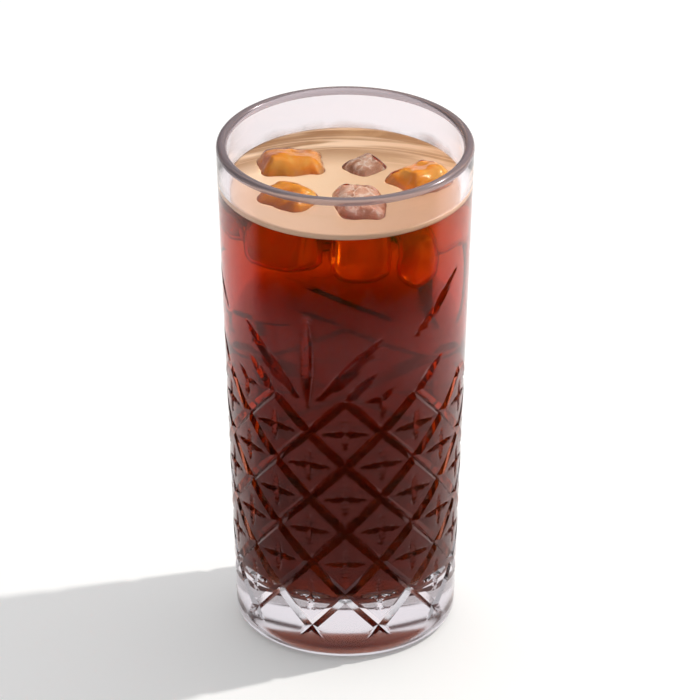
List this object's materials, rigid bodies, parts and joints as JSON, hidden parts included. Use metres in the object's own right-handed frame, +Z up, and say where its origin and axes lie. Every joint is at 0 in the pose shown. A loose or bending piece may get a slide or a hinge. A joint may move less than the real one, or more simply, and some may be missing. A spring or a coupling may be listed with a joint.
{
  "type": "iced americano",
  "caption": "Tall cut-pattern glass tumbler of black iced coffee, with a thin tan crema and clear ice cubes standing out of it.",
  "frame": {"origin": "centre of the foot, on the surface that the glass stands on", "axes": "+Z up the glass, -Y towards the side that shows one fan of leaf cuts just left of the middle, +X to that side's right"},
  "size_m": [0.0774, 0.0774, 0.16],
  "materials": {
    "clear_glass": "clear pressed soda-lime glass, polished",
    "coffee": "clear dark red-brown liquid, orange where it is thin",
    "crema": "fine tan foam with brown streaks, satin",
    "ice": "clear wet ice with fine cracks"
  },
  "bodies": {
    "root": {"tumbler": "clear_glass", "coffee": "coffee", "crema": "crema", "ice_back_left": "ice", "ice_front_left": "ice", "ice_front": "ice", "ice_middle": "ice", "ice_right": "ice"}
  },
  "joints": []
}
